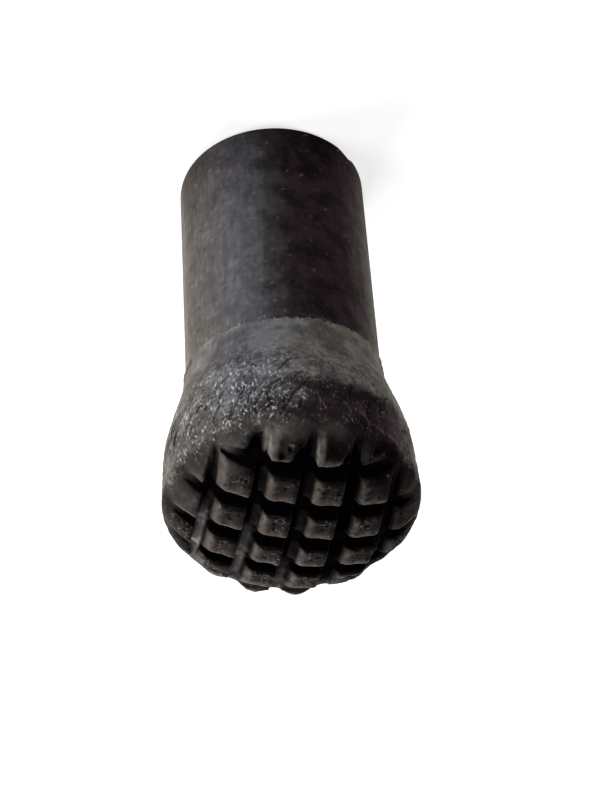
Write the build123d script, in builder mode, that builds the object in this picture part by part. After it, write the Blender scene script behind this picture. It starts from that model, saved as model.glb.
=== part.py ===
from build123d import *
from math import acos, atan2, cos, degrees, hypot, radians, sin, tan
import os

# A moulded rubber tip for a trekking pole, in one piece: a sleeve that is pushed over the pole's end,
# and a flared foot whose domed sole carries a waffle tread.
# Millimetres. It stands on the mouth of its sleeve, +Z up, with the origin at the middle of the mouth.

# Sleeve, which narrows a little from the neck to the mouth
mouth_diameter = 19.7
neck_diameter = 20.0
sleeve_height = 28.1
mouth_bevel = 0.3

# Blind socket for the pole's end
socket_diameter = 11.0
socket_depth = 36.0
socket_lead_in = 1.0
socket_end_bevel = 1.5

# Foot: a small step off the sleeve, an S-shaped flare, a steep band and a crisp rim
collar_step = 0.15
collar_lean = 4.0
flare_diameter = 25.15
flare_height = 12.4
band_height = 3.6
rim_diameter = 25.7

# Domed sole, with a rounded shoulder between the dome and the rim
sole_height = 5.5
sole_radius = 28.0
shoulder_radius = 6.5

# Waffle tread: grooves with leaning walls on a domed floor, a little off the middle along Y
groove_pitch = 4.5
grooves_each_way = 5
groove_width = 1.7
groove_depth = 1.6
groove_draft = 6.0
floor_radius = 31.4
tread_offset = 0.5

# Each groove has a keel under its floor, so that it runs out to a point on the shoulder above the rim
runout_height = 1.0
keel_height = 0.8

cut_overrun = 1.0

# Heights above the mouth
flare_top = sleeve_height + flare_height
rim_level = flare_top + band_height
sole_top = rim_level + sole_height
dome_centre = sole_top - sole_radius

# The shoulder's arc touches the dome's arc from inside and ends on the rim
rim_reach = hypot(rim_diameter / 2, rim_level - dome_centre)
arc_spacing = sole_radius - shoulder_radius
spread = acos((rim_reach**2 + arc_spacing**2 - shoulder_radius**2) / (2 * rim_reach * arc_spacing))
dome_angle = atan2(rim_diameter / 2, rim_level - dome_centre) - spread
shoulder_x = arc_spacing * sin(dome_angle)
shoulder_z = dome_centre + arc_spacing * cos(dome_angle)
rim_angle = atan2(rim_diameter / 2 - shoulder_x, rim_level - shoulder_z)

# Half of a groove's section: the keel's root and top, and the cutter's open top above the sole
groove_lean = tan(radians(groove_draft))
keel_root = rim_level + runout_height
keel_top = keel_root + keel_height
keel_half_width = groove_width / 2 - (sole_top - keel_top) * groove_lean
cutter_top = sole_top + cut_overrun
cutter_half_width = groove_width / 2 + cut_overrun * groove_lean

# All the grooves as one cutter, hollowed from below by the domed floor that they stop at
with BuildPart() as groove_cutter:
    for section_plane, offset_across in ((Plane.XZ, 0), (Plane.YZ, tread_offset)):
        with BuildSketch(section_plane):
            with Locations((offset_across, 0)):
                with GridLocations(groove_pitch, 0, grooves_each_way, 1):
                    Polygon(
                        (0, keel_root),
                        (keel_half_width, keel_top),
                        (cutter_half_width, cutter_top),
                        (-cutter_half_width, cutter_top),
                        (-keel_half_width, keel_top),
                        align=None,
                    )
        extrude(amount=rim_diameter / 2 + cut_overrun, both=True)
    with Locations((0, 0, sole_top - groove_depth - floor_radius)):
        Sphere(floor_radius, rotation=(90, 0, 0), mode=Mode.SUBTRACT)

with BuildPart() as rubber_tip:
    # Outer form, turned about the pole's axis
    with BuildSketch(Plane.XZ):
        with BuildLine():
            dome = JernArc((0, sole_top), (1, 0), sole_radius, -degrees(dome_angle))
            shoulder = JernArc(dome @ 1, dome % 1, shoulder_radius, degrees(dome_angle - rim_angle))
            band = Line(shoulder @ 1, (flare_diameter / 2, flare_top))
            flare = Spline(
                band @ 1,
                (neck_diameter / 2 + collar_step, sleeve_height),
                tangents=((0, -1), (-sin(radians(collar_lean)), -cos(radians(collar_lean)))),
            )
            sleeve = Polyline(
                flare @ 1,
                (neck_diameter / 2, sleeve_height),
                (mouth_diameter / 2, 0),
                (0, 0),
                (0, sole_top),
            )
        make_face()
    revolve(axis=Axis.Z)
    chamfer(edges().filter_by(GeomType.CIRCLE).group_by(Axis.Z)[0], mouth_bevel)

    # Blind socket, bevelled at its end and opened by a lead-in at the mouth
    with BuildSketch(Plane.XY):
        Circle(socket_diameter / 2)
    extrude(amount=socket_depth, mode=Mode.SUBTRACT)
    socket_rims = edges(Select.LAST).filter_by(GeomType.CIRCLE).sort_by(Axis.Z)
    chamfer(socket_rims[-1], socket_end_bevel)
    mouth_edges = edges().filter_by(GeomType.CIRCLE).group_by(Axis.Z)[0]
    chamfer(mouth_edges.sort_by(SortBy.RADIUS)[0], socket_lead_in)

    # Tread
    add(groove_cutter.part, mode=Mode.SUBTRACT)

rubber_tip.part.label = "rubber_tip"
os.makedirs("parts", exist_ok=True)
export_step(rubber_tip.part, "parts/rubber_tip.step")
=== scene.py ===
from math import acos, atan2, cos, hypot, pi, radians, sin

import bmesh
import bpy
import numpy as np
from mathutils import Matrix, Vector, noise


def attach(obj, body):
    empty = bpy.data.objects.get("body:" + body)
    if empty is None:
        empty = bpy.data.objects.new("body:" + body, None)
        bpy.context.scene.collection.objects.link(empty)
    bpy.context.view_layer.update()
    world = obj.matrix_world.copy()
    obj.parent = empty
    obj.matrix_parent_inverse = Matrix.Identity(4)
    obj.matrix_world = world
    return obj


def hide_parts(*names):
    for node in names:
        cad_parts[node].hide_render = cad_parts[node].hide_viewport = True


# A worn rubber tip for a trekking pole, standing on the mouth of its sleeve with its tread up.
# The frame is in metres. The skin is worked in millimetres and scaled back at the end.
# On the tread, left is +X, right is -X, near is -Y and far is +Y, about as the photograph shows it.
# A pair of numbers is a band: where something begins, and where it is full.

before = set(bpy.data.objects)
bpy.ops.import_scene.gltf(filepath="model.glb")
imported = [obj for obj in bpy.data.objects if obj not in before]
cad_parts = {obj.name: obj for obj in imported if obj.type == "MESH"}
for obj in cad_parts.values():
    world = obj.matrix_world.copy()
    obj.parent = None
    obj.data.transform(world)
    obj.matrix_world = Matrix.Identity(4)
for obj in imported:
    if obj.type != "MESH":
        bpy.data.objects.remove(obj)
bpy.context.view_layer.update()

MM = 0.001

# Sizes of the solid that the wear follows, in millimetres
SLEEVE_HEIGHT = 28.1
RIM_LEVEL = 44.1
RIM_RADIUS = 12.85
SOLE_TOP = 49.6
SOLE_RADIUS = 28.0
SHOULDER_RADIUS = 6.5
GROOVE_PITCH = 4.5
GROOVE_WIDTH = 1.7
GROOVE_DEPTH = 1.6
TREAD_OFFSET = 0.5
BLOCK_HALF = (GROOVE_PITCH - GROOVE_WIDTH) / 2

# The sole's dome and shoulder are two arcs that touch, as on the solid
DOME_CENTRE = SOLE_TOP - SOLE_RADIUS
ARC_SPACING = SOLE_RADIUS - SHOULDER_RADIUS
RIM_REACH = hypot(RIM_RADIUS, RIM_LEVEL - DOME_CENTRE)
ARC_SPREAD = acos((RIM_REACH**2 + ARC_SPACING**2 - SHOULDER_RADIUS**2) / (2 * RIM_REACH * ARC_SPACING))
DOME_ANGLE = atan2(RIM_RADIUS, RIM_LEVEL - DOME_CENTRE) - ARC_SPREAD
SHOULDER_X = ARC_SPACING * sin(DOME_ANGLE)
SHOULDER_Z = DOME_CENTRE + ARC_SPACING * cos(DOME_ANGLE)

# Skin mesh, and where it is relaxed: heights from the rim, reaches from the axis, and places along Y
WELD_DISTANCE = 0.0005
VOXEL_SIZE = 0.14
TRIANGLE_LIMIT = 195000
RELAX_WEIGHT = 0.5
RELAXED_RIM = (0.4, 1.2)
RELAXED_RIM_ROUNDS = 16
RELAXED_SOLE = (-0.2, 0.4)
RELAXED_SOLE_ROUNDS = 2
RELAXED_REACH = (10.0, 11.0)
RELAXED_FAR_SIDE = (2, 5)
RELAXED_FAR_ROUNDS = 12

# Noises that shape the skin: wavelength in millimetres, and layer
NOISE_SHIFT = np.array((17.3, 5.1, 29.7))
CHIP_NOISE = (1.1, 1)
PIT_CELLS = (0.75, 2)
FACE_PATCHES = (1.5, 3)
FACE_GRAIN = (0.45, 4)
STROKE_WANDER = (1.3, 5)
FLARE_PATCHES = (2.4, 6)
FLARE_FOLDS = (0.9, 7)
FLARE_GRAIN = (0.45, 8)
LIP_WAVES = (1.6, 9)
LIP_TEETH = (0.6, 10)
LIP_HEIGHTS = (0.6, 11)

# Worn tread blocks: soft edges, with chips that make them wider and deeper
BLOCK_CORNER = 0.35
EDGE_WIDTH = 0.6
EDGE_WIDTH_SWING = 0.15
EDGE_DROP = 0.14
EDGE_DROP_SWING = 0.14
EDGE_DROP_LIMIT = 1.3
WORN_SOLE = (0, 1.5)

# Their hollow tops, each of its own depth, height and lean. The far rows are spared most of this wear.
BLOCK_SEED = 7
BLOCKS_EACH_WAY = 8
HOLLOW_DEPTH = 0.20
HOLLOW_SWING = 0.20
HOLLOW_REACH_SHARE = 0.8
HOLLOW_SHIFT_SHARE = 0.2
HEIGHT_SWING = 0.10
LEAN_SWING = 0.08
FAR_LEAN = 0.05
FAR_ROWS = (7, 10)
FAR_ROWS_SPARED_SHARE = 0.6

# Their bevelled edges, as depth and width, which are slighter in the first row
LEFT_BEVEL = (0.45, 0.8)
FAR_BEVEL = (0.16, 0.7)
BEVEL_CURVE = 1.5
BEVELLED_ROWS = (-9.0, -7.5)
FIRST_BEVEL_SHARE = 0.25

# The right ends of the first row slant
SLANT_DEPTH = 0.6
SLANT_WIDTH = 0.8
SLANT_START = (-12.2, -10.0)
SLANT_END = (-8.9, -9.4)

# Places where the tread's edges are torn, in millimetres: x, y, spread and depth
TORN_SWING = 0.5
TORN_PLACES = (
    (5.5, -9.2, 0.55, 1.0),
    (5.1, -10.0, 0.40, 0.8),
    (2.9, -9.9, 0.35, 0.5),
    (1.6, -9.6, 0.40, 0.5),
    (1.0, -9.4, 0.45, 0.5),
    (0.7, -10.2, 0.35, 0.5),
    (-3.6, -9.6, 0.35, 0.6),
)

# Dirt packed against the blocks' left walls in the long grooves, from this depth down to the floor
PACKED_DEPTH = 0.45
PACKED_CURVE = 0.8
PACKED_OVERLAP = 0.1
PACKED_END = 0.4
PACKED_ROWS = (-9.2, -8.4)
PACKED_REACH = (10.8, 9.6)
PACKED_LEVEL = 0.5

# Lobes of the far shoulder, and the groove ends there, which are nearly full
LOBE_RISE = 0.34
LOBE_SINK = 0.4
LOBE_REACH = (9.8, 11.0)
LOBE_LEVELS = (0.4, 1.4)
LOBE_ROWS = (0, 4)
FILL_SHARE = 0.9
FILL_START = 0.2
FILL_LIMIT = 1.4
FILL_REACH = (9.6, 10.6)
FILL_LEVELS = (0, 1.0)
FILL_ROWS = (5, 8)
LEAST_REACH = 0.1

# A piece broken off the mouth: degrees around the axis, and millimetres lost there
CHIP_TURNS = (-180, -142, -137, -133, -127, 180)
CHIP_DEPTHS = (0, 0, 0.45, 0.30, 0, 0)
CHIP_HEIGHT = 2
MOUTH_WALL = (7.5, 9.5)

# Pits and grain of the worn block tops, with the slopes, depths and places that count as a top
PIT_DEPTH = 0.20
PIT_WALL = (0.05, 0.45)
PITTED_PATCHES = (-0.25, 0.25)
GRAIN_HEIGHT = 0.07
GRAIN_FLOOR_SHARE = 0.3
TOP_SLOPES = (0.45, 0.75)
TOP_DEPTHS = (0.5, 0.8)
TOP_INSET = (0.1, 0.4)
TOP_LEVELS = (1, 2)

# The flare: how far it reaches from the axis, and the heights at which its creases fade
FLARE_RADIUS = 12.4
FLARE_REACH = (8, 9)
FLARE_START = (29, 33)
FLARE_END = (44.3, 45.3)

# Creases in the flare on the side that the photograph shows, as degrees around the axis and millimetres up
CREASES = (
    ((-48.0, 39.0), (-46.2, 41.2)),
    ((-60.0, 39.2), (-57.8, 40.3)),
    ((-77.1, 39.0), (-68.5, 40.3), (-65.1, 41.6), (-64.5, 43.6)),
    ((-71.7, 40.2), (-69.0, 42.6)),
    ((-86.8, 39.9), (-81.0, 41.2), (-77.4, 43.4), (-75.3, 44.0)),
    ((-85.1, 41.7), (-83.9, 43.2)),
    ((-81.5, 35.9), (-75.0, 37.7)),
    ((-72.2, 42.2), (-68.1, 43.3)),
)

# Thin pale scratches by the rim, in the same measures
SCRATCHES = (
    ((-118.0, 43.4), (-130.0, 43.8), (-138.0, 44.2), (-147.0, 44.6)),
    ((-112.0, 42.0), (-115.0, 43.0), (-116.0, 44.4)),
    ((-104.0, 41.6), (-107.0, 42.5)),
)

# Short random creases: the degrees at which they start, and their ranges of starts, rises and runs
CREASE_SEED = 11
SHORT_CREASE_TURNS = (*np.linspace(-36, 250, 42), *np.linspace(-84, -38, 12))
SHORT_CREASE_SHIFT = (-3, 3)
SHORT_CREASE_FOOT = (36.5, 41.5)
SHORT_CREASE_RUN = (1, 6)
SHORT_CREASE_RISE = (0.8, 2.4)
SHORT_CREASE_TOP = 43.8
SHORT_CREASE_BEND_SHARES = (0.7, 0.4)

# Form of the creases and scratches, as rise and width, and of the leathery grain between them
NO_STROKE_NEAR = 9.0
WANDER_WIDTH = 0.25
CREASE_FORM = (-0.09, 0.11)
CREASE_LIP_FORM = (0.04, 0.14)
CREASE_LIP_PLACE = 0.30
SCRATCH_FORM = (0.04, 0.10)
FOLD_HEIGHT = 0.045
LEATHER_HEIGHT = 0.03
LEATHER_PATCHES = (-0.3, 0.3)
LEATHER_FLOOR_SHARE = 0.35

# The foot's ragged lip, with heights from the line that it follows
LIP_ZONE = 2.5
LIP_REACH = 8
LIP_FLATNESS = np.array((1, 1, 0.2))
LIP_WAVE_HEIGHT = 0.20
LIP_TOOTH_HEIGHT = 0.15
LIP_RISE = 0.13
LIP_RISE_SWING = 0.6
LIP_FOOT = (-0.10, 0.08)
LIP_BACK = (0.15, 0.8)
LIP_SINK = 0.16
LIP_SINK_START = (0, 0.15)
LIP_SINK_END = (-0.15, 0.05)

# Painted tread: levels from the rim, depths under the uncut sole, slopes, and places along Y
PAINTED_SOLE = (0.3, 1.0)
PAINTED_TREAD = (1.0, 2.2)
DEEP_GROOVE = (0.35, 1.1)
FRONT_WALL_SLOPES = (0.3, 0.7)
FRONT_WALL_DEPTHS = (0.2, 0.5)
LEFT_WALL_SLOPES = (0.4, 0.7)
LEFT_WALL_DEPTHS = (0.9, 1.5)
FACE_SLOPES = (0.3, 0.7)
FACE_REACH = (9.3, 10.6)
FIRST_ROW = (-8.9, -9.3)
FAR_END = (8.2, 9.2)
FAR_END_FILLED_SHARE = 0.8
LAST_ROW = (8.6, 9.6)

# Painted block edges, by distance in from them: worn bands that also carry painted light on the left and far
# sides, pale lines that are partly painted highlights, and painted shade on the near and right sides
RUBBED_AND_LIT_LEFT = (1.1, 0.3)
RUBBED_AND_LIT_FAR = (1.3, 0.4)
RUBBED_AND_LIT_FAR_SHARE = 0.9
LESS_RUBBED_AND_LIT_COLUMNS = (1.5, 4.0)
LESS_RUBBED_AND_LIT_SHARE = 0.45
PALE_LEFT = (0.60, 0.15)
PALE_FAR = (0.45, 0.10)
PALE_FAR_SHARE = 0.8
LESS_PALE_COLUMNS = (-4.0, -5.0)
LESS_PALE_SHARE = 0.7
LATER_ROWS_PALE_SHARE = 0.5
SHADED_NEAR = (0.8, 0.0)
SHADED_RIGHT = (0.9, 0.0)
SHADED_RIGHT_SHARE = 0.6

# Silt and painted light along the middle of the long grooves: share, and the bands along X and Y where they
# gather
LEFT_SILT_AND_LIGHT = (0.65, (2, 4), (-1, 3))
CORNER_SILT_AND_LIGHT = (0.5, (6, 8), (-3, 0))
FAR_SILT_AND_LIGHT = (0.35, (-2, 0), (4, 8))
SILT_AND_LIGHT_LINE = (0.62, 0.22)

# A trace of silt and painted light on the packed dirt
SILT_AND_LIGHT_TRACE_SHARE = 0.10
SILT_AND_LIGHT_TRACE_WALL = (0.15, -0.05)
SILT_AND_LIGHT_TRACE_LENGTH = (1.5, 1.2)
SILT_AND_LIGHT_TRACE_COLUMNS = (-2.5, 0.5)
SILT_AND_LIGHT_TRACE_DEPTHS = (0.3, 0.7)

# Widths of the painted creases and scratches
PAINTED_CREASE = 0.13
PAINTED_SCRATCH = 0.11

# Where the foot's ledge dips and dust gathers, by degrees around the axis from the side that is shown. The
# dust shares hold painted light as well as dust: they are higher on the left and front, where the light
# falls, and low on the right, which is painted shade.
# The shares are listed.
FRONT_AZIMUTH = -77
LEDGE_DIP = 0.8
SHARE_TURNS = (-180, -120, -78, -60, -47, -8, 3, 9, 20, 50, 68, 84, 120, 180)
LEDGE_SHARES = (0.00, 0.00, 0.00, 0.10, 0.30, 0.90, 1.00, 0.95, 0.80, 0.15, 0.00, 0.00, 0.00, 0.00)
SLEEVE_DUST_AND_LIGHT_SHARES = (0.12, 0.18, 0.52, 0.21, 0.05, 0.05, 0.22, 0.47, 0.57, 0.37, 0.33, 0.50, 0.24, 0.12)
SLOPE_DUST_AND_LIGHT_SHARES = (0.34, 0.42, 0.82, 0.74, 0.80, 0.78, 0.96, 0.96, 0.92, 0.64, 0.34, 0.28, 0.36, 0.34)
BAND_DUST_AND_LIGHT_SHARES = (0.14, 0.22, 0.72, 0.22, 0.04, 0.10, 0.58, 0.70, 0.80, 0.56, 0.24, 0.15, 0.20, 0.14)
RIM_DUST_AND_LIGHT_SHARES = (0.14, 0.20, 0.58, 0.16, 0.03, 0.06, 0.27, 0.30, 0.36, 0.38, 0.25, 0.13, 0.20, 0.14)
SHOULDER_DUST_AND_LIGHT_SHARES = (0.09, 0.09, 0.08, 0.01, 0.00, 0.28, 0.60, 0.50, 0.32, 0.18, 0.14, 0.11, 0.10, 0.09)
BLOCK_DUST_AND_LIGHT_SHARES = (0.09, 0.09, 0.06, 0.01, 0.00, 0.03, 0.13, 0.16, 0.22, 0.20, 0.15, 0.11, 0.10, 0.09)
# Painted glints: where the flare's pale flecks gather, most on the lit side
SPARKLE_SHARES = (0.12, 0.14, 0.30, 0.20, 0.16, 0.24, 0.90, 1.00, 0.95, 0.55, 0.36, 0.28, 0.16, 0.12)
OLIVE_SHARES = (0.9, 0.8, 0.6, 0.2, 0.0, 0.5, 0.9, 0.6, 0.5, 0.9, 1.0, 1.0, 0.9, 0.9)
# Cool dust, which is partly a painted highlight on the front and left
COOL_DUST_AND_HIGHLIGHT_SHARES = (0.6, 0.4, 0.1, 0.1, 0.2, 0.5, 0.8, 1.0, 1.0, 0.4, 0.1, 0.0, 0.3, 0.6)

# Heights over which the dust and painted light of one zone give way to the next one's, from the sleeve up
FOOT_START = (SLEEVE_HEIGHT - 0.15, SLEEVE_HEIGHT + 0.25)
SLOPE_END = 38.7
DUST_AND_LIGHT_ZONES = (
    ((SLOPE_END - 0.8, SLOPE_END + 0.8), BAND_DUST_AND_LIGHT_SHARES),
    ((RIM_LEVEL - 2.6, RIM_LEVEL - 1.2), RIM_DUST_AND_LIGHT_SHARES),
    ((RIM_LEVEL - 0.2, RIM_LEVEL + 0.8), SHOULDER_DUST_AND_LIGHT_SHARES),
    ((RIM_LEVEL + 1.4, RIM_LEVEL + 2.4), BLOCK_DUST_AND_LIGHT_SHARES),
)

# Other heights at which the rubber's look changes
COARSE_START = (31, 36)
COARSE_END = (45.5, 44.0)
STAIN_START = (SLEEVE_HEIGHT + 0.3, SLEEVE_HEIGHT + 1.3)
LEDGE_FLECK_START = (SLEEVE_HEIGHT - 0.2, SLEEVE_HEIGHT + 0.1)
LEDGE_FLECK_END = (SLEEVE_HEIGHT + 1.2, SLEEVE_HEIGHT + 0.6)

# Shares that change with height: a band, and the shares at its two ends
SLEEVE_DUST_RISE = (1, 14, 0.42, 1.05)
COOL_FADE = (43.5, 41.5, 0.5, 1.0)
# Painted shade: the clean rubber darkens towards the mouth. It also darkens towards the sole.
MOUTH_SHADE = (0, 7, 0.35, 1.0)
SOLE_DARKENING = (43.6, 44.8, 1.0, 0.15)
SPARKLE_RISE = (31, 37, 0.25, 1.0)

# Mottles of the rubber: waves to a millimetre, detail, the noise's band, and the values at its two ends
TURN_SWAY = (0.5, 4, 0, 1, -0.25, 0.25)
HEIGHT_SWAY = (0.6, 3, 0, 1, -1.0, 1.0)
LEDGE_SWAY = (1.2, 4, 0, 1, -0.7, 0.7)
BLOTCHES = (0.45, 3, 0.3, 0.7, 0.78, 1.22)
SOFT_GRAINS = (1.6, 6, 0.3, 0.7, 0.80, 1.20)
HARD_GRAINS = (2.2, 5, 0.34, 0.66, 0.45, 1.45)
STREAKS = (2.6, 3, 0.35, 0.65, 0.85, 1.15)
STAINS = (0.35, 3, 0.42, 0.56, 0.62, 1.10)
FADED_PATCHES = (0.4, 5, 0.38, 0.60, 0.0, 1.0)
RUBBED_AND_LIT_PATCHES = (1.3, 5, 0.35, 0.65, 0.4, 1.0)
DARK_PITS = (1.7, 6, 0.44, 0.36, 0.0, 1.0)
SHADED_PATCHES = (1.0, 4, 0.35, 0.6, 0.5, 1.0)
EDGE_PATCHES = (1.4, 5, 0.35, 0.6, 0.15, 0.9)
SILT_AND_LIGHT_PATCHES = (1.1, 4, 0.35, 0.6, 0.55, 1.25)
FLECKS = (4.4, 3, 0.53, 0.66, 0.0, 1.0)
FLECK_CLUSTERS = (0.9, 4, 0.46, 0.58, 0.0, 1.0)
SINGLE_SPECKS = (1.6, 3, 0.64, 0.80, 0.0, 1.0)
SCRATCH_GLINTS = (1.5, 3, 0.4, 0.7, 0.0, 0.3)
FACE_SPECKS = (3.0, 4, 0.56, 0.70, 0.0, 1.0)

# How one layer of the rubber changes with another. Four numbers are a band and the values at its two ends.
STREAK_STRETCH = 0.18
FLECK_STRETCH = 0.5
# Painted shade in the creases: the share of dust left there
CREASE_SHADE_SHARE = 0.15
RUBBED_AND_LIT_PIT_SHARE = 0.3
LEDGE_FLECK_SHARES = (0.12, 0.6)
THICK_SPARKLE = (0.6, 1.0, 0.0, 0.40)
SINGLE_SPECK_SHARE = 0.25
FACE_SPECK_SHARE = 0.25
NO_SPECKS_IN_GROOVES = (0, 0.6, 1.0, 0.0)

# Colours of the rubber and of what lies on it
CLEAN_RUBBER = (0.0315, 0.0128, 0.0238)
DEEP_RUBBER = (0.0055, 0.0020, 0.0038)
OLIVE_RUBBER = (0.0215, 0.0190, 0.0160)
WARM_DUST = (0.250, 0.228, 0.192)
# Cool dust colour, partly a painted highlight
COOL_DUST_AND_HIGHLIGHT = (0.142, 0.147, 0.163)
# Worn block tops, partly painted light on the lit sides
WORN_AND_LIT_FACE = (0.132, 0.114, 0.100)
FACE_MIDDLE = (0.030, 0.0245, 0.022)
# Dark pits, and painted shade on the blocks' near and right sides
PITTED_AND_SHADED_FACE = (0.005, 0.004, 0.004)
# Dirt and painted shade in the grooves
GROOVE_DIRT_AND_SHADE = (0.0025, 0.0015, 0.002)
# Silt colour, partly painted light on the lit groove floors
GROOVE_SILT_AND_LIGHT = (0.230, 0.210, 0.212)
# Pale edges, partly painted highlights
PALE_EDGE_AND_HIGHLIGHT = (0.170, 0.152, 0.134)
# Pale flecks, partly painted glints
PALE_SPECK_AND_GLINT = (0.60, 0.59, 0.58)

# Surface of the rubber, whose dust catches light that skims it
SHEEN = 0.48
SHEEN_ROUGHNESS = 0.22
SHEEN_TINT = (1.0, 0.95, 0.88)
SPECULAR_LEVEL = 0.0
DUST_ROUGHNESS = (0, 0.8, 0.55, 0.8)
BUMP_WAVES = 3.5
BUMP_DETAIL = 6
BUMP_STRENGTH = 0.6
BUMP_HEIGHT = 0.08 * MM

# Stage, in metres. The floor looks brighter further out: a band of distances, and its glow at both ends.
FLOOR_HALF = 2.0
FLOOR_COLOUR = (0.75, 0.75, 0.75)
FLOOR_GLOW = (0.1, 0.5, 0.6, 1.0)
WHITE = (1, 1, 1)
WORLD_LIGHT = 0.15
LAMP_TARGET = Vector((0, 0, 0.03))
LAMP_DISTANCE = 0.45
LAMP_SIZE = 0.2

# Lamps: degrees from the camera's side towards the left of the picture, degrees up, and watts
LAMPS = {
    "front_lamp": (60, 8, 1.7),
    "left_lamp": (105, 12, 1.5),
    "back_lamp": (150, 22, 1.1),
    "right_lamp": (-110, 25, 0.9),
}

# Photograph: its frame and the pixel of the neck's centre, and the camera that fits its outline and grooves
PHOTO_WIDTH = 600
PHOTO_HEIGHT = 800
NECK_PIXEL = (283.8, 383.0)
FOCAL_PIXELS = 3000
SENSOR_SIZE = 36
CAMERA_DISTANCE = 0.3064
CAMERA_ELEVATION = 43.0
CAMERA_ROLL = 176.2
CAMERA_AZIMUTH = 12.7
CLIP_START = 0.01


# Measures on the skin

def smooth_step(low, high, values):
    """0 at low, 1 at high, and smooth between them. It runs down where low is the larger."""
    share = np.clip((values - low) / (high - low), 0, 1)
    return share * share * (3 - 2 * share)


def noise_at(points, wavelength, layer):
    """Smooth noise of about -1 to 1 at each point. Each layer is a different noise."""
    return np.array([noise.noise(point) for point in points / wavelength + NOISE_SHIFT * layer])


def cell_distance_at(points, wavelength, layer):
    """Distance to the nearest of scattered spots, as a share of their spacing."""
    places = points / wavelength + NOISE_SHIFT * layer
    return np.array([noise.voronoi(place)[0][0] for place in places])


def swell(distance, height, width):
    """A rounded ridge, or a furrow where its height is negative."""
    return height * np.exp(-((distance / width) ** 2))


def reach_of(points):
    """Distance from the axis."""
    return np.hypot(points[:, 0], points[:, 1])


def azimuth_of(points):
    """Degrees around the axis."""
    return np.degrees(np.arctan2(points[:, 1], points[:, 0]))


def within_half_turn(angle):
    """The same angle, between -180 and 180 degrees."""
    return (angle + 180) % 360 - 180


def above_rim(points, low, high):
    """0 at the first height from the rim, 1 at the second, and smooth between them."""
    return smooth_step(RIM_LEVEL + low, RIM_LEVEL + high, points[:, 2])


def block_places(points):
    """Each point's place from the middle of its tread block, and the block's row and column."""
    across = points[:, :2] - np.array((0, TREAD_OFFSET))
    block = np.floor(across / GROOVE_PITCH)
    place = across - (block + 0.5) * GROOVE_PITCH
    return place, block


def edge_distance(place):
    """Distance in from the edge of a block with rounded corners, negative outside it."""
    beyond = np.abs(place) - BLOCK_HALF + BLOCK_CORNER
    outside = np.hypot(*np.clip(beyond, 0, None).T)
    return BLOCK_CORNER - outside - np.clip(beyond.max(axis=1), None, 0)


def sole_depth(points):
    """How far each point lies below the sole's uncut dome or shoulder."""
    reach = reach_of(points)
    height = points[:, 2]
    dome = SOLE_RADIUS - np.hypot(reach, height - DOME_CENTRE)
    shoulder = SHOULDER_RADIUS - np.hypot(reach - SHOULDER_X, height - SHOULDER_Z)
    return np.where(np.arctan2(reach, height - DOME_CENTRE) < DOME_ANGLE, dome, shoulder)


# Mesh

def link(name, mesh):
    piece = bpy.data.objects.new(name, mesh)
    bpy.context.scene.collection.objects.link(piece)
    return piece


def welded_copy(node, name):
    """The node's mesh in millimetres, with its split corners joined."""
    shape = bmesh.new()
    shape.from_mesh(node.data)
    bmesh.ops.scale(shape, vec=Vector((1, 1, 1)) / MM, verts=shape.verts)
    bmesh.ops.remove_doubles(shape, verts=shape.verts, dist=WELD_DISTANCE)
    mesh = bpy.data.meshes.new(name)
    shape.to_mesh(mesh)
    shape.free()
    return mesh


def apply_modifiers(piece):
    graph = bpy.context.evaluated_depsgraph_get()
    mesh = bpy.data.meshes.new_from_object(piece.evaluated_get(graph))
    piece.modifiers.clear()
    piece.data = mesh


def read_points(mesh):
    points = np.empty(len(mesh.vertices) * 3)
    mesh.vertices.foreach_get("co", points)
    return points.reshape(-1, 3)


def write_points(mesh, points):
    mesh.vertices.foreach_set("co", points.ravel())
    mesh.update()


def read_normals(mesh):
    normals = np.empty(len(mesh.vertices) * 3)
    mesh.vertex_normals.foreach_get("vector", normals)
    return normals.reshape(-1, 3)


def read_edges(mesh):
    edges = np.empty(len(mesh.edges) * 2, dtype=np.int32)
    mesh.edges.foreach_get("vertices", edges)
    return edges.reshape(-1, 2)


def relax(points, edges, zone, rounds):
    """Moves each point in the zone towards the middle of its neighbours, in each round."""
    start, end = edges.T
    size = len(points)
    weights = RELAX_WEIGHT * zone
    count = np.bincount(start, minlength=size) + np.bincount(end, minlength=size)
    for _ in range(rounds):
        middle = np.empty_like(points)
        for axis in range(3):
            values = points[:, axis]
            total = np.bincount(start, values[end], size) + np.bincount(end, values[start], size)
            middle[:, axis] = total / count
        points = points + weights[:, None] * (middle - points)
    return points


# Wear of the sole and the mouth

def bevel(inward, depth, width):
    """What a bevel has taken off at this distance in from the edge."""
    return depth * np.clip(1 - inward / width, 0, 1) ** BEVEL_CURVE


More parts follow.
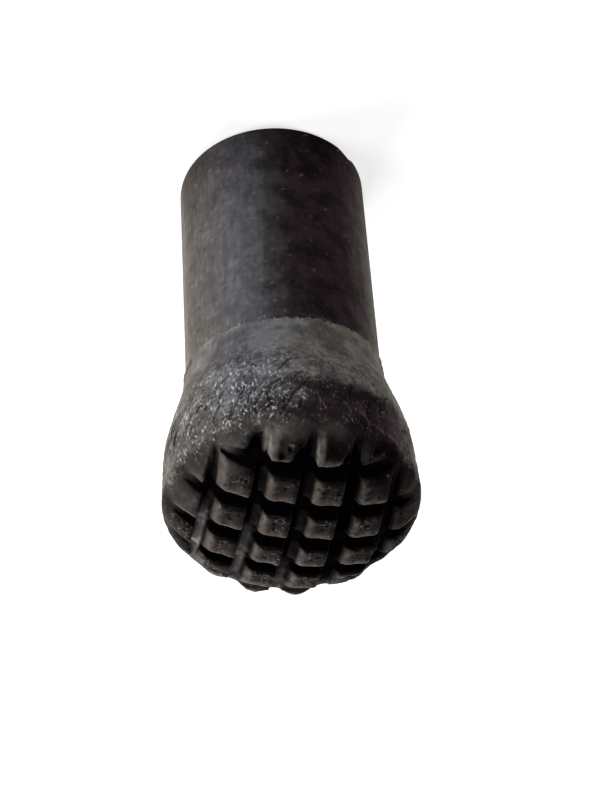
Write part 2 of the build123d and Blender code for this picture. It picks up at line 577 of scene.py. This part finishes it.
def wear_tread(points):
    """Wears the blocks down: soft edges, hollow tops that differ a little in height, and torn corners."""
    y = points[:, 1]
    place, block = block_places(points)
    chips = noise_at(points, *CHIP_NOISE)
    edge_width = EDGE_WIDTH + EDGE_WIDTH_SWING * chips
    edge_drop = EDGE_DROP + EDGE_DROP_SWING * np.clip(chips, 0, None)
    lost = edge_drop * np.clip(1 - edge_distance(place) / edge_width, 0, EDGE_DROP_LIMIT) ** 2

    chances = np.random.default_rng(BLOCK_SEED)
    height, lean, hollow = chances.random((3, BLOCKS_EACH_WAY, BLOCKS_EACH_WAY))
    row, column = np.clip(block.astype(int) + BLOCKS_EACH_WAY // 2, 0, BLOCKS_EACH_WAY - 1).T
    across, along = np.clip(place / BLOCK_HALF, -1, 1).T
    hollow_depth = HOLLOW_DEPTH + HOLLOW_SWING * hollow[row, column]
    lost += hollow_depth * (1 - across**2) * (1 - (HOLLOW_REACH_SHARE * along - HOLLOW_SHIFT_SHARE) ** 2)

    from_left, from_far = (BLOCK_HALF - place).T
    bevels = bevel(from_left, *LEFT_BEVEL) + bevel(from_far, *FAR_BEVEL)
    lost += bevels * (FIRST_BEVEL_SHARE + (1 - FIRST_BEVEL_SHARE) * smooth_step(*BEVELLED_ROWS, y))
    lost += HEIGHT_SWING * height[row, column]
    lost += LEAN_SWING * (lean[row, column] - 0.5) * place[:, 0] - FAR_LEAN * place[:, 1]
    lost *= 1 - FAR_ROWS_SPARED_SHARE * smooth_step(*FAR_ROWS, y)

    from_right = BLOCK_HALF + place[:, 0]
    slanted = np.clip(1 - from_right / SLANT_WIDTH, 0, 1) * smooth_step(*SLANT_START, y)
    lost += SLANT_DEPTH * slanted * smooth_step(*SLANT_END, y)

    for torn_x, torn_y, spread, depth in TORN_PLACES:
        near = np.exp(-((points[:, 0] - torn_x) ** 2 + (y - torn_y) ** 2) / (2 * spread**2))
        lost += depth * near * (1 + TORN_SWING * chips)

    worn = points.copy()
    on_block = np.clip(1 - sole_depth(points) / GROOVE_DEPTH, 0, 1)
    worn[:, 2] -= np.clip(lost, 0, None) * above_rim(points, *WORN_SOLE) * on_block
    return worn


def pack_grooves(points):
    """Packs dirt against one wall of the long grooves, so that their floors slope."""
    place, _ = block_places(points)
    across, along = place.T
    out = np.clip((across - BLOCK_HALF) / (GROOVE_WIDTH / 2), 0, 1)
    slope = PACKED_DEPTH + (GROOVE_DEPTH - PACKED_DEPTH) * out**PACKED_CURVE
    beside = across > BLOCK_HALF - PACKED_OVERLAP
    beside = beside * smooth_step(BLOCK_HALF + PACKED_OVERLAP, BLOCK_HALF - PACKED_END, np.abs(along))
    zone = smooth_step(*PACKED_ROWS, points[:, 1]) * smooth_step(*PACKED_REACH, reach_of(points))
    on_sole = points[:, 2] > RIM_LEVEL + PACKED_LEVEL
    packed = points.copy()
    packed[:, 2] += np.clip(sole_depth(points) - slope, 0, None) * beside * zone * on_sole
    return packed


def shape_shoulder(points):
    """Rounds the far shoulder into lobes between the ends of the grooves."""
    y = points[:, 1]
    reach = reach_of(points)
    heading = points[:, :2] / np.clip(reach, LEAST_REACH, None)[:, None]
    place, _ = block_places(points)
    lobes = np.cos(2 * pi * place / GROOVE_PITCH)
    lobe = heading[:, 1] ** 2 * lobes[:, 0] + heading[:, 0] ** 2 * lobes[:, 1]
    lobed = smooth_step(*LOBE_REACH, reach) * above_rim(points, *LOBE_LEVELS)
    rise = LOBE_RISE * lobed * smooth_step(*LOBE_ROWS, y) * (lobe - LOBE_SINK)

    filled = np.clip(sole_depth(points) - FILL_START, 0, FILL_LIMIT) * smooth_step(*FILL_REACH, reach)
    rise += FILL_SHARE * filled * smooth_step(*FILL_ROWS, y) * above_rim(points, *FILL_LEVELS)
    tilt = np.arctan2(reach - SHOULDER_X, points[:, 2] - SHOULDER_Z)
    outward = np.column_stack((heading * np.sin(tilt)[:, None], np.cos(tilt)))
    return points + outward * rise[:, None]


def chip_mouth(points):
    """Breaks the edge of the mouth where it is chipped."""
    low = np.clip(1 - points[:, 2] / CHIP_HEIGHT, 0, 1) * smooth_step(*MOUTH_WALL, reach_of(points))
    chipped = points.copy()
    chipped[:, 2] += np.interp(azimuth_of(points), CHIP_TURNS, CHIP_DEPTHS) * low
    return chipped


def roughen_faces(points, normals):
    """Pits and fine bumps on the worn tops of the blocks."""
    place, _ = block_places(points)
    top = smooth_step(*TOP_SLOPES, normals[:, 2]) * (1 - smooth_step(*TOP_DEPTHS, sole_depth(points)))
    face = top * smooth_step(*TOP_INSET, edge_distance(place)) * above_rim(points, *TOP_LEVELS)
    rise = np.zeros(len(points))
    chosen = face > 0
    spots = points[chosen]
    pits = smooth_step(*PIT_WALL, cell_distance_at(spots, *PIT_CELLS)) - 1
    patches = smooth_step(*PITTED_PATCHES, noise_at(spots, *FACE_PATCHES))
    grain = noise_at(spots, *FACE_GRAIN)
    form = PIT_DEPTH * pits * patches + GRAIN_HEIGHT * grain * (GRAIN_FLOOR_SHARE + patches)
    rise[chosen] = face[chosen] * form
    return rise


# Wear of the flare

def random_creases():
    """Short slanted creases around the flare, closer together on the side that the photograph shows."""
    chances = np.random.default_rng(CREASE_SEED)
    along, up = SHORT_CREASE_BEND_SHARES
    creases = []
    for azimuth in SHORT_CREASE_TURNS:
        start = azimuth + chances.uniform(*SHORT_CREASE_SHIFT)
        low = chances.uniform(*SHORT_CREASE_FOOT)
        end = start + chances.uniform(*SHORT_CREASE_RUN)
        high = low + chances.uniform(*SHORT_CREASE_RISE)
        bend = (start + along * (end - start), low + up * (high - low))
        creases.append(((start, low), bend, (end, min(high, SHORT_CREASE_TOP))))
    return tuple(creases)


def stroke_distance(points, strokes):
    """Distance from each point to the nearest of the strokes, on the flare rolled out flat."""
    azimuth = azimuth_of(points)
    nearest = np.full(len(points), NO_STROKE_NEAR)
    for stroke in strokes:
        for start, end in zip(stroke, stroke[1:]):
            across = np.radians(within_half_turn(azimuth - start[0])) * FLARE_RADIUS
            up = points[:, 2] - start[1]
            run = radians(end[0] - start[0]) * FLARE_RADIUS
            rise = end[1] - start[1]
            share = np.clip((across * run + up * rise) / (run**2 + rise**2), 0, 1)
            nearest = np.minimum(nearest, np.hypot(across - share * run, up - share * rise))
    return nearest


def stroke_distances(points):
    """Distances to the creases and to the scratches, which all wander a little."""
    wander = points + WANDER_WIDTH * noise_at(points, *STROKE_WANDER)[:, None]
    return stroke_distance(wander, CREASES + random_creases()), stroke_distance(wander, SCRATCHES)


def on_flare(points):
    height = points[:, 2]
    outside = smooth_step(*FLARE_REACH, reach_of(points))
    return outside * smooth_step(*FLARE_START, height) * (1 - smooth_step(*FLARE_END, height))


def wrinkle_flare(points):
    """Creases with raised lips, thin scratches, and a leathery grain between them."""
    zone = on_flare(points)
    rise = np.zeros(len(points))
    chosen = zone > 0
    spots = points[chosen]
    crease, scratch = stroke_distances(spots)
    form = swell(crease, *CREASE_FORM) + swell(crease - CREASE_LIP_PLACE, *CREASE_LIP_FORM)
    form += swell(scratch, *SCRATCH_FORM)
    patches = smooth_step(*LEATHER_PATCHES, noise_at(spots, *FLARE_PATCHES))
    leather = FOLD_HEIGHT * noise_at(spots, *FLARE_FOLDS) + LEATHER_HEIGHT * noise_at(spots, *FLARE_GRAIN)
    form += leather * (LEATHER_FLOOR_SHARE + patches)
    rise[chosen] = zone[chosen] * form
    return rise


def neck_ledge(points):
    """The thin ragged lip where the foot begins."""
    rise = np.zeros(len(points))
    chosen = (np.abs(points[:, 2] - SLEEVE_HEIGHT) < LIP_ZONE) & (reach_of(points) > LIP_REACH)
    spots = points[chosen]
    flat = spots * LIP_FLATNESS
    ragged = LIP_WAVE_HEIGHT * noise_at(flat, *LIP_WAVES) + LIP_TOOTH_HEIGHT * noise_at(flat, *LIP_TEETH)
    turn = within_half_turn(azimuth_of(spots) - FRONT_AZIMUTH)
    dip = LEDGE_DIP * np.interp(turn, SHARE_TURNS, LEDGE_SHARES)
    above_neck = spots[:, 2] - SLEEVE_HEIGHT
    above_lip = above_neck - dip - ragged
    lip = smooth_step(*LIP_FOOT, above_lip) * (1 - smooth_step(*LIP_BACK, above_lip))
    sunk = smooth_step(*LIP_SINK_START, above_neck) * (1 - smooth_step(*LIP_SINK_END, above_lip))
    swing = 1 + LIP_RISE_SWING * noise_at(spots, *LIP_HEIGHTS)
    rise[chosen] = LIP_RISE * lip * swing - LIP_SINK * sunk
    return rise


def make_skin(node):
    """The worn skin that stands for the solid."""
    piece = link("rubber_skin", welded_copy(node, "rubber_skin"))
    remesh = piece.modifiers.new("remesh", "REMESH")
    remesh.mode = "VOXEL"
    remesh.voxel_size = VOXEL_SIZE
    apply_modifiers(piece)

    mesh = piece.data
    points = chip_mouth(shape_shoulder(wear_tread(pack_grooves(read_points(mesh)))))
    edges = read_edges(mesh)
    on_rim = 1 - smooth_step(*RELAXED_RIM, np.abs(points[:, 2] - RIM_LEVEL))
    on_sole = above_rim(points, *RELAXED_SOLE)
    points = relax(points, edges, on_rim, RELAXED_RIM_ROUNDS)
    points = relax(points, edges, on_sole, RELAXED_SOLE_ROUNDS)
    on_shoulder = on_sole * smooth_step(*RELAXED_REACH, reach_of(points))
    far_shoulder = on_shoulder * smooth_step(*RELAXED_FAR_SIDE, points[:, 1])
    points = relax(points, edges, far_shoulder, RELAXED_FAR_ROUNDS)
    write_points(mesh, points)

    normals = read_normals(mesh)
    rise = roughen_faces(points, normals) + wrinkle_flare(points) + neck_ledge(points)
    write_points(mesh, points + normals * rise[:, None])

    thin = piece.modifiers.new("thin", "DECIMATE")
    thin.ratio = TRIANGLE_LIMIT / sum(len(face.vertices) - 2 for face in mesh.polygons)
    apply_modifiers(piece)
    piece.data.transform(Matrix.Scale(MM, 4))
    piece.data.shade_smooth()
    return piece


# Painted layers, which the rubber's material reads

def patch(points, share, across, along):
    """A share that begins and is full at these places across and along the tread."""
    return share * smooth_step(*across, points[:, 0]) * smooth_step(*along, points[:, 1])


def groove_silt_and_light(points, depth, deep):
    """Silt and painted light along the middle of the long grooves, and a trace of both on the packed dirt.
    """
    place, _ = block_places(points)
    across, along = np.abs(place).T
    silt_and_light = patch(points, *LEFT_SILT_AND_LIGHT) + patch(points, *CORNER_SILT_AND_LIGHT)
    silt_and_light = np.maximum(silt_and_light, patch(points, *FAR_SILT_AND_LIGHT))
    silt_and_light *= smooth_step(*SILT_AND_LIGHT_LINE, GROOVE_PITCH / 2 - across) * deep
    by_wall = smooth_step(*SILT_AND_LIGHT_TRACE_WALL, BLOCK_HALF - place[:, 0])
    on_slope = by_wall * smooth_step(*SILT_AND_LIGHT_TRACE_LENGTH, along)
    trace = SILT_AND_LIGHT_TRACE_SHARE * on_slope * smooth_step(*SILT_AND_LIGHT_TRACE_COLUMNS, points[:, 0])
    return np.maximum(silt_and_light, trace * smooth_step(*SILT_AND_LIGHT_TRACE_DEPTHS, depth))


def tread_layers(points, normals):
    """Where the tread is worn by the ground, takes painted light or painted shade, is silted, is pale at an
    edge or is deeply grooved.
    """
    x, y, _ = points.T
    depth = sole_depth(points)
    on_sole = above_rim(points, *PAINTED_SOLE)
    on_tread = above_rim(points, *PAINTED_TREAD)
    deep = smooth_step(*DEEP_GROOVE, depth)
    front_wall = smooth_step(*FRONT_WALL_SLOPES, -normals[:, 1]) * smooth_step(*FRONT_WALL_DEPTHS, depth)
    left_wall = smooth_step(*LEFT_WALL_SLOPES, normals[:, 0]) * (1 - smooth_step(*LEFT_WALL_DEPTHS, depth))
    facing_up = smooth_step(*FACE_SLOPES, normals[:, 2])
    inner = 1 - smooth_step(*FACE_REACH, reach_of(points)) * (y < 0)
    first_row = smooth_step(*FIRST_ROW, y)
    last_row = smooth_step(*LAST_ROW, y)
    far_end = on_sole * smooth_step(*FAR_END, y)

    place, _ = block_places(points)
    from_left, from_far = (BLOCK_HALF - place).T
    from_right, from_near = (BLOCK_HALF + place).T
    # Worn bands on the left and far sides, which also carry painted light, and all of the last row
    rubbed_and_lit = np.maximum(
        smooth_step(*RUBBED_AND_LIT_LEFT, from_left), RUBBED_AND_LIT_FAR_SHARE * smooth_step(*RUBBED_AND_LIT_FAR, from_far)
    )
    rubbed_and_lit *= 1 - LESS_RUBBED_AND_LIT_SHARE * smooth_step(*LESS_RUBBED_AND_LIT_COLUMNS, x)
    shaded = np.maximum(
        smooth_step(*SHADED_NEAR, from_near), SHADED_RIGHT_SHARE * smooth_step(*SHADED_RIGHT, from_right)
    )
    # Pale edges on the left and far sides, partly painted highlights
    edged = np.maximum(smooth_step(*PALE_LEFT, from_left), PALE_FAR_SHARE * smooth_step(*PALE_FAR, from_far))
    edged *= 1 - LESS_PALE_SHARE * smooth_step(*LESS_PALE_COLUMNS, x)
    # Painted shade and dirt: deep grooves and the walls that face the front turn black
    grooved = on_sole * np.maximum(deep * (1 - left_wall * first_row), front_wall)
    pale_rows = np.maximum(first_row, LATER_ROWS_PALE_SHARE)
    return {
        "face": np.maximum(on_tread * facing_up * inner * (1 - deep), far_end),
        "rubbed_and_lit": np.maximum(rubbed_and_lit, last_row),
        "shade": shaded * (1 - last_row),
        "silt_and_light": on_tread * facing_up * groove_silt_and_light(points, depth, deep),
        "edge": on_tread * pale_rows * edged * (1 - deep * (1 - left_wall)),
        "groove_dirt_and_shade": grooved * (1 - FAR_END_FILLED_SHARE * far_end),
    }


def flare_layers(points):
    """Where the flare is creased, which the rubber darkens with painted shade, and where it is scratched."""
    flare = on_flare(points)
    crease, scratch = stroke_distances(points)
    return {
        "crease": flare * swell(crease, 1, PAINTED_CREASE),
        "scratch": flare * swell(scratch, 1, PAINTED_SCRATCH),
    }


def paint(piece):
    points = read_points(piece.data) / MM
    layers = tread_layers(points, read_normals(piece.data)) | flare_layers(points)
    for name, values in layers.items():
        attribute = piece.data.attributes.new(name, "FLOAT", "POINT")
        attribute.data.foreach_set("value", values.astype(np.float32))


# Nodes

def add(tree, kind, inputs, **settings):
    """Adds a node. An input that is a socket is linked, and any other is set."""
    node = tree.nodes.new(kind)
    for name, value in settings.items():
        setattr(node, name, value)
    for key, value in inputs.items():
        if isinstance(value, bpy.types.NodeSocket):
            tree.links.new(value, node.inputs[key])
        else:
            node.inputs[key].default_value = value
    return node


def layer(tree, name):
    return add(tree, "ShaderNodeAttribute", {}, attribute_name=name).outputs["Fac"]


def maths(tree, operation, first, *others):
    """The operation on two values, and then on its result and each further value."""
    for other in others:
        first = add(tree, "ShaderNodeMath", {0: first, 1: other}, operation=operation).outputs[0]
    return first


def product(tree, *values):
    return maths(tree, "MULTIPLY", *values)


def largest(tree, *values):
    return maths(tree, "MAXIMUM", *values)


def remap(tree, value, low, high, to_low=0.0, to_high=1.0, smooth=False):
    inputs = {"Value": value, "From Min": low, "From Max": high, "To Min": to_low, "To Max": to_high}
    kind = "SMOOTHSTEP" if smooth else "LINEAR"
    return add(tree, "ShaderNodeMapRange", inputs, interpolation_type=kind).outputs[0]


def ripple(tree, where, waves, detail):
    """Noise with this many waves to a millimetre."""
    inputs = {"Vector": where, "Scale": waves, "Detail": detail}
    return add(tree, "ShaderNodeTexNoise", inputs).outputs["Fac"]


def mottle(tree, where, look):
    """Noise whose band is brought to the values that the look gives."""
    waves, detail, *ends = look
    return remap(tree, ripple(tree, where, waves, detail), *ends)


def stretched(tree, where, along):
    """The same place, drawn out along the axis."""
    return add(tree, "ShaderNodeMapping", {"Vector": where, "Scale": (1, 1, along)}).outputs[0]


def blend(tree, share, first, second):
    """Blend of two values."""
    return add(tree, "ShaderNodeMix", {"Factor": share, 2: first, 3: second}, data_type="FLOAT").outputs[0]


def blend_colours(tree, share, first, second):
    node = add(tree, "ShaderNodeMix", {"Factor": share}, data_type="RGBA")
    for socket, colour in ((node.inputs[6], first), (node.inputs[7], second)):
        if isinstance(colour, bpy.types.NodeSocket):
            tree.links.new(colour, socket)
        else:
            socket.default_value = (*colour, 1)
    return node.outputs[2]


def around(tree, turn, shares):
    """Share for each turn around the axis, blended between the turns that are given."""
    node = add(tree, "ShaderNodeValToRGB", {"Fac": turn})
    elements = node.color_ramp.elements
    elements[0].position = 0
    elements[1].position = 1
    for degrees_round in SHARE_TURNS[1:-1]:
        elements.new(degrees_round / 360 + 0.5)
    for element, share in zip(elements, shares):
        element.color = (share, share, share, 1)
    return node.outputs["Color"]


# Rubber

def surface_places(tree):
    """The place in millimetres, the turn around the axis as 0 to 1, and the height."""
    place = add(tree, "ShaderNodeTexCoord", {}).outputs["Object"]
    where = add(tree, "ShaderNodeVectorMath", {0: place, "Scale": 1 / MM}, operation="SCALE").outputs[0]
    spin = {"Vector": where, "Angle": radians(-FRONT_AZIMUTH)}
    faced = add(tree, "ShaderNodeVectorRotate", spin, rotation_type="Z_AXIS").outputs[0]
    parts = add(tree, "ShaderNodeSeparateXYZ", {"Vector": faced}).outputs
    turned = maths(tree, "ARCTAN2", parts["Y"], parts["X"])
    swayed = maths(tree, "ADD", turned, mottle(tree, where, TURN_SWAY))
    return where, remap(tree, swayed, -pi, pi), parts["Z"]


def dust_and_light_share(tree, where, turn, height):
    """Dust and painted light as a share all over the outside, before it is mottled."""
    uneven = maths(tree, "ADD", height, mottle(tree, where, HEIGHT_SWAY))
    sleeve = product(tree, around(tree, turn, SLEEVE_DUST_AND_LIGHT_SHARES), remap(tree, uneven, *SLEEVE_DUST_RISE))
    ledge = product(tree, around(tree, turn, LEDGE_SHARES), LEDGE_DIP)
    past_ledge = maths(tree, "SUBTRACT", maths(tree, "ADD", height, mottle(tree, where, LEDGE_SWAY)), ledge)
    on_foot = remap(tree, past_ledge, *FOOT_START, smooth=True)
    dust_and_light = blend(tree, on_foot, sleeve, around(tree, turn, SLOPE_DUST_AND_LIGHT_SHARES))
    for change, shares in DUST_AND_LIGHT_ZONES:
        dust_and_light = blend(tree, remap(tree, uneven, *change, smooth=True), dust_and_light, around(tree, turn, shares))
    return dust_and_light


def mottled_dust_and_light(tree, where, turn, height, coarse):
    """Dust and painted light in blotches of a few millimetres and in grains, which are coarser on the foot.
    """
    grains = blend(tree, coarse, mottle(tree, where, SOFT_GRAINS), mottle(tree, where, HARD_GRAINS))
    streaks = mottle(tree, stretched(tree, where, STREAK_STRETCH), STREAKS)
    on_foot = remap(tree, height, *STAIN_START, smooth=True)
    stains = blend(tree, on_foot, 1.0, mottle(tree, where, STAINS))
    # Painted shade: the creases keep little dust, so they are darker
    unshaded_by_creases = remap(tree, layer(tree, "crease"), 0, 1, 1.0, CREASE_SHADE_SHARE)
    share = dust_and_light_share(tree, where, turn, height)
    return product(tree, share, mottle(tree, where, BLOTCHES), grains, streaks, stains, unshaded_by_creases)


def dusty_colour_and_painted_light(tree, where, turn, height, dust_and_light):
    """Faded rubber under a dusty colour that is cooler on some sides than on others, where it is partly a
    painted highlight. Painted shade darkens the clean rubber near the mouth, and it is darker towards the
    sole.
    """
    coolness = product(tree, around(tree, turn, COOL_DUST_AND_HIGHLIGHT_SHARES), remap(tree, height, *COOL_FADE, smooth=True))
    dust_and_highlight_colour = blend_colours(tree, coolness, WARM_DUST, COOL_DUST_AND_HIGHLIGHT)
    # Painted shade near the mouth, and darker rubber towards the sole
    faded_and_shaded = product(
        tree,
        mottle(tree, where, FADED_PATCHES),
        remap(tree, height, *MOUTH_SHADE),
        remap(tree, height, *SOLE_DARKENING),
    )
    clean_colour = blend_colours(tree, around(tree, turn, OLIVE_SHARES), CLEAN_RUBBER, OLIVE_RUBBER)
    clean_colour = blend_colours(tree, faded_and_shaded, DEEP_RUBBER, clean_colour)
    return blend_colours(tree, dust_and_light, clean_colour, dust_and_highlight_colour)


def tread_colour(tree, where, colour):
    """Brownish block tops with dark pits, worn bands that partly carry painted light, pale edges that are
    partly painted highlights, and painted shade; grooves made black by dirt and painted shade, with silted
    lines that are partly painted light.
    """
    rubbed_and_lit = product(tree, layer(tree, "rubbed_and_lit"), mottle(tree, where, RUBBED_AND_LIT_PATCHES))
    pits = product(tree, mottle(tree, where, DARK_PITS), remap(tree, rubbed_and_lit, 0, 1, 1.0, RUBBED_AND_LIT_PIT_SHARE))
    shade = product(tree, layer(tree, "shade"), mottle(tree, where, SHADED_PATCHES))
    face_colour = blend_colours(tree, rubbed_and_lit, FACE_MIDDLE, WORN_AND_LIT_FACE)
    face_colour = blend_colours(tree, pits, face_colour, PITTED_AND_SHADED_FACE)
    # Painted shade on the near and right sides of the blocks
    face_colour = blend_colours(tree, shade, face_colour, PITTED_AND_SHADED_FACE)
    colour = blend_colours(tree, layer(tree, "face"), colour, face_colour)
    edge = product(tree, layer(tree, "edge"), mottle(tree, where, EDGE_PATCHES))
    colour = blend_colours(tree, edge, colour, PALE_EDGE_AND_HIGHLIGHT)
    silt_and_light = product(tree, layer(tree, "silt_and_light"), mottle(tree, where, SILT_AND_LIGHT_PATCHES))
    groove_colour = blend_colours(tree, silt_and_light, GROOVE_DIRT_AND_SHADE, GROOVE_SILT_AND_LIGHT)
    return blend_colours(tree, layer(tree, "groove_dirt_and_shade"), colour, groove_colour)


def speck_and_glint_share(tree, where, turn, height, coarse):
    """Pale flecks in clusters on the flare and its ledge, partly painted glints where the light falls,
    scratches, and a few specks all over.
    """
    clusters = mottle(tree, where, FLECK_CLUSTERS)
    flecks = mottle(tree, stretched(tree, where, FLECK_STRETCH), FLECKS)
    sparkle = product(tree, around(tree, turn, SPARKLE_SHARES), coarse, remap(tree, height, *SPARKLE_RISE))
    thick = largest(tree, clusters, remap(tree, sparkle, *THICK_SPARKLE))
    on_ledge = product(
        tree,
        remap(tree, height, *LEDGE_FLECK_START),
        remap(tree, height, *LEDGE_FLECK_END),
        remap(tree, around(tree, turn, LEDGE_SHARES), 0, 1, *LEDGE_FLECK_SHARES),
    )
    many = product(tree, flecks, thick, largest(tree, sparkle, on_ledge))
    few = product(tree, mottle(tree, where, SINGLE_SPECKS), clusters, SINGLE_SPECK_SHARE)
    scratches = product(tree, layer(tree, "scratch"), mottle(tree, where, SCRATCH_GLINTS))
    face_specks = mottle(tree, where, FACE_SPECKS)
    on_faces = product(tree, face_specks, clusters, layer(tree, "face"), FACE_SPECK_SHARE)
    out_of_grooves = remap(tree, layer(tree, "groove_dirt_and_shade"), *NO_SPECKS_IN_GROOVES)
    return product(tree, largest(tree, many, few, scratches, on_faces), out_of_grooves)


def rubber():
    material = bpy.data.materials.new("worn_rubber")
    material.use_nodes = True
    tree = material.node_tree
    shader = tree.nodes["Principled BSDF"]
    where, turn, height = surface_places(tree)
    coarse = product(
        tree, remap(tree, height, *COARSE_START, smooth=True), remap(tree, height, *COARSE_END, smooth=True)
    )
    dust_and_light = mottled_dust_and_light(tree, where, turn, height, coarse)
    colour = tread_colour(tree, where, dusty_colour_and_painted_light(tree, where, turn, height, dust_and_light))
    colour = blend_colours(tree, speck_and_glint_share(tree, where, turn, height, coarse), colour, PALE_SPECK_AND_GLINT)
    fine = ripple(tree, where, BUMP_WAVES, BUMP_DETAIL)
    bumps = {"Height": fine, "Strength": BUMP_STRENGTH, "Distance": BUMP_HEIGHT}
    grain = add(tree, "ShaderNodeBump", bumps).outputs["Normal"]

    tree.links.new(colour, shader.inputs["Base Color"])
    tree.links.new(remap(tree, dust_and_light, *DUST_ROUGHNESS), shader.inputs["Roughness"])
    tree.links.new(grain, shader.inputs["Normal"])
    shader.inputs["Specular IOR Level"].default_value = SPECULAR_LEVEL
    shader.inputs["Sheen Weight"].default_value = SHEEN
    shader.inputs["Sheen Roughness"].default_value = SHEEN_ROUGHNESS
    shader.inputs["Sheen Tint"].default_value = (*SHEEN_TINT, 1)
    return material


# Stage

def seen_ray(tree):
    """1 for a ray that shows the background, straight or in a reflection, and 0 for one that only lights."""
    path = add(tree, "ShaderNodeLightPath", {}).outputs
    return largest(tree, path["Is Camera Ray"], path["Is Glossy Ray"], path["Is Transmission Ray"])


def floor_material():
    """A floor that looks nearly white and still takes the object's shadow."""
    material = bpy.data.materials.new("pale_floor")
    material.use_nodes = True
    tree = material.node_tree
    tree.nodes.clear()
    diffuse = add(tree, "ShaderNodeBsdfDiffuse", {"Color": (*FLOOR_COLOUR, 1)}).outputs[0]
    place = add(tree, "ShaderNodeTexCoord", {}).outputs["Object"]
    distance = add(tree, "ShaderNodeVectorMath", {0: place}, operation="LENGTH").outputs["Value"]
    strength = product(tree, seen_ray(tree), remap(tree, distance, *FLOOR_GLOW))
    glow = add(tree, "ShaderNodeEmission", {"Color": (*WHITE, 1), "Strength": strength}).outputs[0]
    both = add(tree, "ShaderNodeAddShader", {0: diffuse, 1: glow}).outputs[0]
    add(tree, "ShaderNodeOutputMaterial", {"Surface": both})
    return material


def pale_floor():
    signs = ((-1, -1), (1, -1), (1, 1), (-1, 1))
    corners = [(across * FLOOR_HALF, along * FLOOR_HALF, 0) for across, along in signs]
    mesh = bpy.data.meshes.new("floor")
    mesh.from_pydata(corners, [], [(0, 1, 2, 3)])
    mesh.materials.append(floor_material())
    floor = link("floor", mesh)


def white_world():
    """A world that looks white and lights the object only a little."""
    world = bpy.data.worlds.new("world")
    bpy.context.scene.world = world
    world.use_nodes = True
    tree = world.node_tree
    background = tree.nodes["Background"]
    background.inputs["Color"].default_value = (*WHITE, 1)
    strength = remap(tree, seen_ray(tree), 0, 1, WORLD_LIGHT, 1.0)
    tree.links.new(strength, background.inputs["Strength"])


def lamp(name, turn, elevation, power):
    """A square soft lamp that shines on the object's middle."""
    data = bpy.data.lights.new(name, "AREA")
    data.size = LAMP_SIZE
    data.energy = power
    azimuth = radians(CAMERA_AZIMUTH - 90 + turn)
    rise = radians(elevation)
    direction = Vector((cos(rise) * cos(azimuth), cos(rise) * sin(azimuth), sin(rise)))
    light = bpy.data.objects.new(name, data)
    light.location = LAMP_TARGET + direction * LAMP_DISTANCE
    light.rotation_mode = "QUATERNION"
    light.rotation_quaternion = direction.to_track_quat("Z", "Y")
    bpy.context.scene.collection.objects.link(light)


def photo_camera():
    """A camera that looks at the neck, and then turns so that the neck lands on its pixel."""
    elevation = radians(CAMERA_ELEVATION)
    away = Vector((0, -cos(elevation), sin(elevation)))
    upright = away.to_track_quat("Z", "Y").to_matrix() @ Matrix.Rotation(radians(CAMERA_ROLL), 3, "Z")
    aim = Vector((NECK_PIXEL[0] - PHOTO_WIDTH / 2, PHOTO_HEIGHT / 2 - NECK_PIXEL[1], -FOCAL_PIXELS))
    turn = Vector((0, 0, -1)).rotation_difference(aim.normalized()).to_matrix()
    place = Matrix.Translation(Vector((0, 0, SLEEVE_HEIGHT * MM)) + away * CAMERA_DISTANCE)
    data = bpy.data.cameras.new("camera")
    data.sensor_width = SENSOR_SIZE
    data.lens = FOCAL_PIXELS * SENSOR_SIZE / PHOTO_HEIGHT
    data.clip_start = CLIP_START
    camera = bpy.data.objects.new("camera", data)
    spin = Matrix.Rotation(radians(CAMERA_AZIMUTH), 4, "Z")
    camera.matrix_world = spin @ place @ (upright @ turn.transposed()).to_4x4()
    bpy.context.scene.collection.objects.link(camera)
    bpy.context.scene.camera = camera


skin = make_skin(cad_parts["rubber_tip"])
paint(skin)
skin.data.materials.clear()
skin.data.materials.append(rubber())
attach(skin, "root")
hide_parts("rubber_tip")

pale_floor()
white_world()
for lamp_name, (lamp_turn, lamp_elevation, lamp_power) in LAMPS.items():
    lamp(lamp_name, lamp_turn, lamp_elevation, lamp_power)
photo_camera()
bpy.context.scene.view_settings.view_transform = "Standard"
